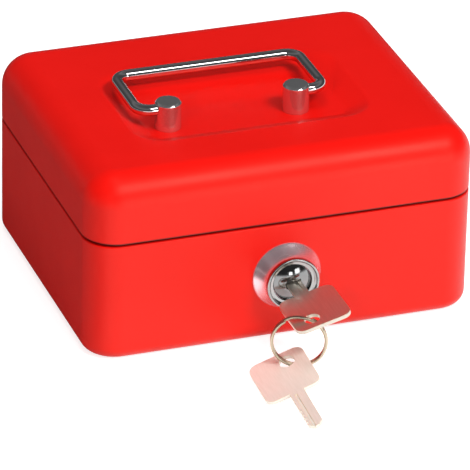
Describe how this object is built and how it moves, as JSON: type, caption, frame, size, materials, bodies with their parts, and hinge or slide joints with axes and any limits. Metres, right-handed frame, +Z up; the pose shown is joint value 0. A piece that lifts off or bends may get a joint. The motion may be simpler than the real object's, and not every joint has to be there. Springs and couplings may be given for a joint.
{
  "type": "cash box",
  "caption": "Small red steel cash box with a hinged lid, swinging wire handle in a sunken top, cam lock with its key, split ring with a spare key, and a lift-out coin tray.",
  "frame": {"origin": "middle of the flat base, on the surface the box stands on", "axes": "+X to the right seen from the lock side, +Y to the hinges at the back, +Z up"},
  "size_m": [0.152, 0.2005, 0.0814],
  "materials": {
    "red_paint": "satin powder coat",
    "chrome": "polished chrome plate",
    "zinc": "zinc plate",
    "nickel": "nickel plate",
    "brass": "plain",
    "tray_plastic": "fine grain"
  },
  "bodies": {
    "box": {"body_shell": "red_paint", "hinge_left_body_leaf": "zinc", "hinge_left_pin": "zinc", "hinge_right_body_leaf": "zinc", "hinge_right_pin": "zinc", "hinge_body_rivets": "zinc", "lock_housing": "chrome", "lock_face_ring": "chrome", "lock_washer": "zinc", "lock_nut": "zinc", "tray_rail_left": "red_paint", "tray_rail_right": "red_paint"},
    "lid": {"lid_shell": "red_paint", "hinge_left_lid_leaf": "zinc", "hinge_right_lid_leaf": "zinc", "hinge_lid_rivets": "zinc", "handle_post_left": "chrome", "handle_post_right": "chrome", "handle_screws": "zinc", "handle_washers": "zinc", "lid_catch": "zinc"},
    "handle": {"bail_handle": "chrome"},
    "plug": {"lock_plug": "chrome", "lock_wafers": "brass", "lock_cam": "zinc", "cam_screw": "zinc"},
    "key": {"lock_key": "nickel"},
    "ring": {"split_ring": "nickel"},
    "spare": {"spare_key": "nickel"},
    "tray": {"coin_tray": "tray_plastic"}
  },
  "joints": [
    {"name": "lid_hinge", "type": "hinge", "parent": "box", "child": "lid", "pos_m": [0, 0.0645, 0.0478], "axis": [-1, 0, 0], "range_deg": [0, 100]},
    {"name": "handle_swing", "type": "hinge", "parent": "lid", "child": "handle", "pos_m": [-0.0066, -0.0166, 0.0783], "axis": [1, 0, 0], "range_deg": [-5, 183]},
    {"name": "plug_turn", "type": "hinge", "parent": "box", "child": "plug", "pos_m": [0, -0.062, 0.0263], "axis": [0, 1, 0], "range_deg": [-75, 15]},
    {"name": "key_withdraw", "type": "slide", "parent": "plug", "child": "key", "axis": [0, -1, 0], "range_m": [0, 0.02]},
    {"name": "ring_swing", "type": "hinge", "parent": "key", "child": "ring", "pos_m": [-0.00251, -0.0971, 0.02563], "axis": [0.9438, -0.3305, 0], "range_deg": [-12, 12]},
    {"name": "spare_swing", "type": "hinge", "parent": "ring", "child": "spare", "pos_m": [-0.01078, -0.0942, 0.00766], "axis": [-1, 0, 0], "range_deg": [-2, 14]},
    {"name": "tray_lift", "type": "slide", "parent": "box", "child": "tray", "axis": [0, 0, 1], "range_m": [0, 0.012]}
  ]
}
